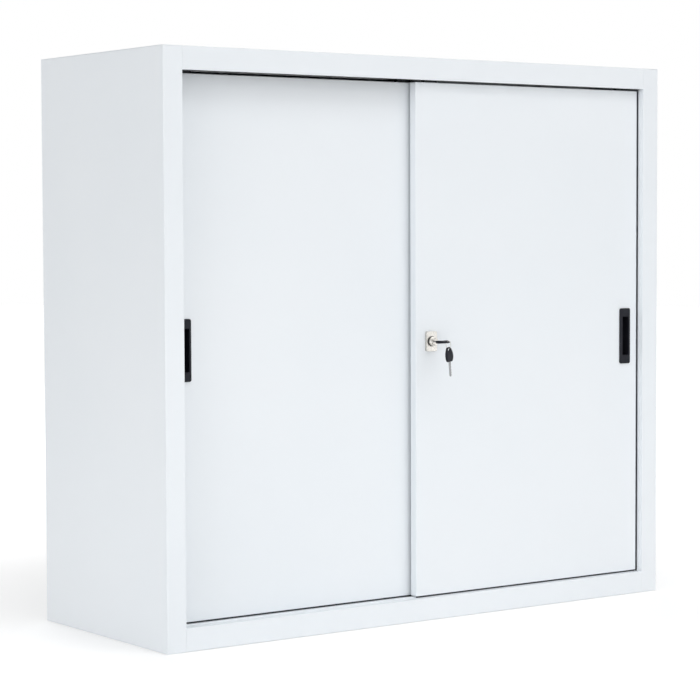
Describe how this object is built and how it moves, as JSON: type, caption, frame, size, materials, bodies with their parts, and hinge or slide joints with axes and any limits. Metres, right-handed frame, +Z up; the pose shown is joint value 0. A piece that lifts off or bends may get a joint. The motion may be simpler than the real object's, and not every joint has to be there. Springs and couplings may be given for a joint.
{
  "type": "sliding door cabinet",
  "caption": "Low painted-steel office cabinet with bypass sliding doors, flush black pulls, a cylinder lock with its keys, and adjustable shelves inside.",
  "frame": {"origin": "on the floor under the middle of the carcass, on the base channel's underside", "axes": "+Z up, the front with its doors faces -Y, +X to the right as seen from the front"},
  "size_m": [1.2, 0.498, 1.09],
  "materials": {
    "white_powder_coat": "fine satin powder coat",
    "zinc_plated_steel": "zinc plated",
    "bright_steel": "drawn",
    "nickel_plate": "warm nickel plate",
    "black_plastic": "fine moulded grain",
    "black_nylon": "moulded nylon"
  },
  "bodies": {
    "carcass": {"left_side_panel": "white_powder_coat", "right_side_panel": "white_powder_coat", "top_panel": "white_powder_coat", "bottom_panel": "white_powder_coat", "base_channel": "white_powder_coat", "back_panel": "white_powder_coat", "shelf_1": "white_powder_coat", "shelf_2": "white_powder_coat", "shelf_upright_left_front": "white_powder_coat", "shelf_upright_left_rear": "white_powder_coat", "shelf_upright_right_front": "white_powder_coat", "shelf_upright_right_rear": "white_powder_coat", "shelf_clip_1_left_front": "zinc_plated_steel", "shelf_clip_1_left_rear": "zinc_plated_steel", "shelf_clip_1_right_front": "zinc_plated_steel", "shelf_clip_1_right_rear": "zinc_plated_steel", "shelf_clip_2_left_front": "zinc_plated_steel", "shelf_clip_2_left_rear": "zinc_plated_steel", "shelf_clip_2_right_front": "zinc_plated_steel", "shelf_clip_2_right_rear": "zinc_plated_steel", "track_stop_left": "black_nylon", "track_stop_right": "black_nylon", "top_track": "zinc_plated_steel", "guide_strip": "black_nylon", "sill_rail_front": "white_powder_coat", "sill_rail_rear": "white_powder_coat"},
    "right_door": {"right_door_panel": "white_powder_coat", "right_door_stiffener": "zinc_plated_steel", "right_door_pull": "black_plastic", "right_door_top_guide_left": "black_nylon", "right_door_roller_bracket_left": "zinc_plated_steel", "right_door_axle_left": "bright_steel", "right_door_top_guide_right": "black_nylon", "right_door_roller_bracket_right": "zinc_plated_steel", "right_door_axle_right": "bright_steel", "lock_escutcheon": "nickel_plate", "lock_barrel": "nickel_plate", "lock_nut": "zinc_plated_steel"},
    "right_door_roller_left": {"right_door_roller_left": "black_nylon"},
    "right_door_roller_right": {"right_door_roller_right": "black_nylon"},
    "left_door": {"left_door_panel": "white_powder_coat", "left_door_stiffener": "zinc_plated_steel", "left_door_pull": "black_plastic", "left_door_top_guide_left": "black_nylon", "left_door_roller_bracket_left": "zinc_plated_steel", "left_door_axle_left": "bright_steel", "left_door_top_guide_right": "black_nylon", "left_door_roller_bracket_right": "zinc_plated_steel", "left_door_axle_right": "bright_steel", "lock_strike": "zinc_plated_steel"},
    "left_door_roller_left": {"left_door_roller_left": "black_nylon"},
    "left_door_roller_right": {"left_door_roller_right": "black_nylon"},
    "lock_plug": {"lock_plug": "nickel_plate", "lock_cam": "zinc_plated_steel"},
    "key": {"key_blade": "nickel_plate", "key_bow": "black_plastic"},
    "key_ring": {"key_ring": "nickel_plate"},
    "spare_key": {"spare_key_blade": "nickel_plate", "spare_key_bow": "black_plastic"}
  },
  "joints": [
    {"name": "right_door_slide", "type": "slide", "parent": "carcass", "child": "right_door", "axis": [1, 0, 0], "range_m": [-0.532, 0]},
    {"name": "right_door_roller_left_spin", "type": "hinge", "parent": "right_door", "child": "right_door_roller_left", "pos_m": [0.036, -0.201, 0.0543], "axis": [0, 1, 0], "continuous": true},
    {"name": "right_door_roller_right_spin", "type": "hinge", "parent": "right_door", "child": "right_door_roller_right", "pos_m": [0.496, -0.201, 0.0543], "axis": [0, 1, 0], "continuous": true},
    {"name": "left_door_slide", "type": "slide", "parent": "carcass", "child": "left_door", "axis": [1, 0, 0], "range_m": [0, 0.56]},
    {"name": "left_door_roller_left_spin", "type": "hinge", "parent": "left_door", "child": "left_door_roller_left", "pos_m": [-0.51, -0.177, 0.0543], "axis": [0, 1, 0], "continuous": true},
    {"name": "left_door_roller_right_spin", "type": "hinge", "parent": "left_door", "child": "left_door_roller_right", "pos_m": [-0.05, -0.177, 0.0543], "axis": [0, 1, 0], "continuous": true},
    {"name": "lock_turn", "type": "hinge", "parent": "right_door", "child": "lock_plug", "pos_m": [0.0112, -0.21, 0.543], "axis": [0, 1, 0], "range_deg": [0, 90]},
    {"name": "key_pull", "type": "slide", "parent": "lock_plug", "child": "key", "axis": [0, -1, 0], "range_m": [0, 0.018]},
    {"name": "key_ring_swing", "type": "hinge", "parent": "key", "child": "key_ring", "pos_m": [0.0126, -0.26493, 0.538], "axis": [1, 0, 0], "range_deg": [-25, 25]},
    {"name": "spare_key_swing", "type": "hinge", "parent": "key_ring", "child": "spare_key", "pos_m": [0.0126, -0.26493, 0.5305], "axis": [0, 1, 0], "range_deg": [-30, 30]}
  ],
  "couplings": [
    {"joint": "right_door_roller_left_spin", "follows": "right_door_slide", "rad_per_m": 111.11},
    {"joint": "right_door_roller_right_spin", "follows": "right_door_slide", "rad_per_m": 111.11},
    {"joint": "left_door_roller_left_spin", "follows": "left_door_slide", "rad_per_m": 111.11},
    {"joint": "left_door_roller_right_spin", "follows": "left_door_slide", "rad_per_m": 111.11}
  ]
}
